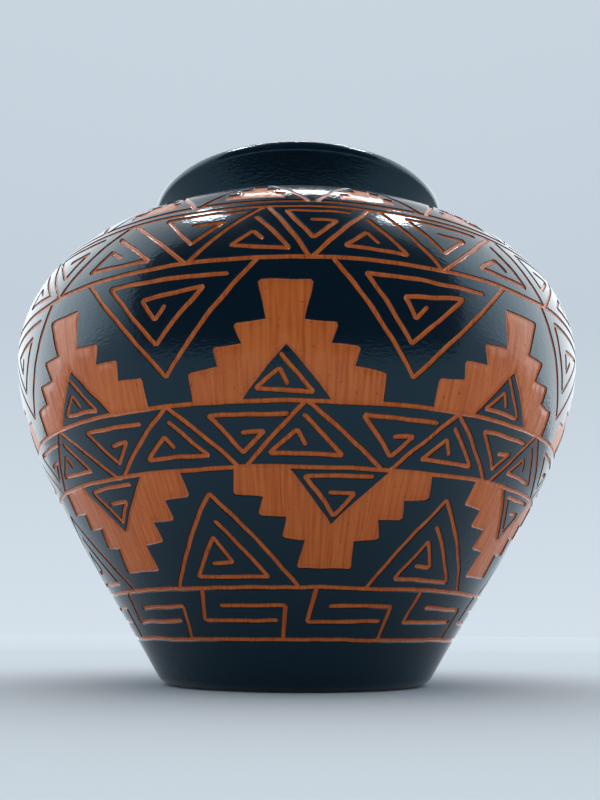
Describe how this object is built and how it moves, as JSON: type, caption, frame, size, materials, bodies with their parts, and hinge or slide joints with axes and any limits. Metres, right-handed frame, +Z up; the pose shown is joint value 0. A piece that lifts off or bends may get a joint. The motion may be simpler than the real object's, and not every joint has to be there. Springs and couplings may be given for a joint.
{
  "type": "incised clay pot",
  "caption": "Round-bellied clay pot with a flared collar, black slip skin and incised geometric bands.",
  "frame": {"origin": "centre of the flat foot, on the ground", "axes": "+Z up along the pot's axis; -Y is the front; +X to the right seen from the front"},
  "size_m": [0.16, 0.16, 0.1404],
  "materials": {
    "bare_clay": "fired orange-brown clay, bared by the incised lines and scraped shapes, under the same clear gloss as the slip",
    "black_slip": "black slip, burnished and clear coated to a high gloss"
  },
  "bodies": {
    "root": {"clay_floor": "bare_clay", "clay_lower_wall": "bare_clay", "clay_belly_wall": "bare_clay", "clay_shoulder": "bare_clay", "clay_shoulder_top": "bare_clay", "clay_collar": "bare_clay", "clay_lip": "bare_clay", "foot_coat": "black_slip", "meander_coat": "black_slip", "lower_field_coat": "black_slip", "middle_band_coat": "black_slip", "upper_field_coat": "black_slip", "zigzag_band_coat": "black_slip", "ring_fillet_coat": "black_slip", "crown_band_coat": "black_slip", "shoulder_top_coat": "black_slip", "collar_coat": "black_slip", "lip_coat": "black_slip", "mouth_coat": "black_slip"}
  },
  "joints": []
}
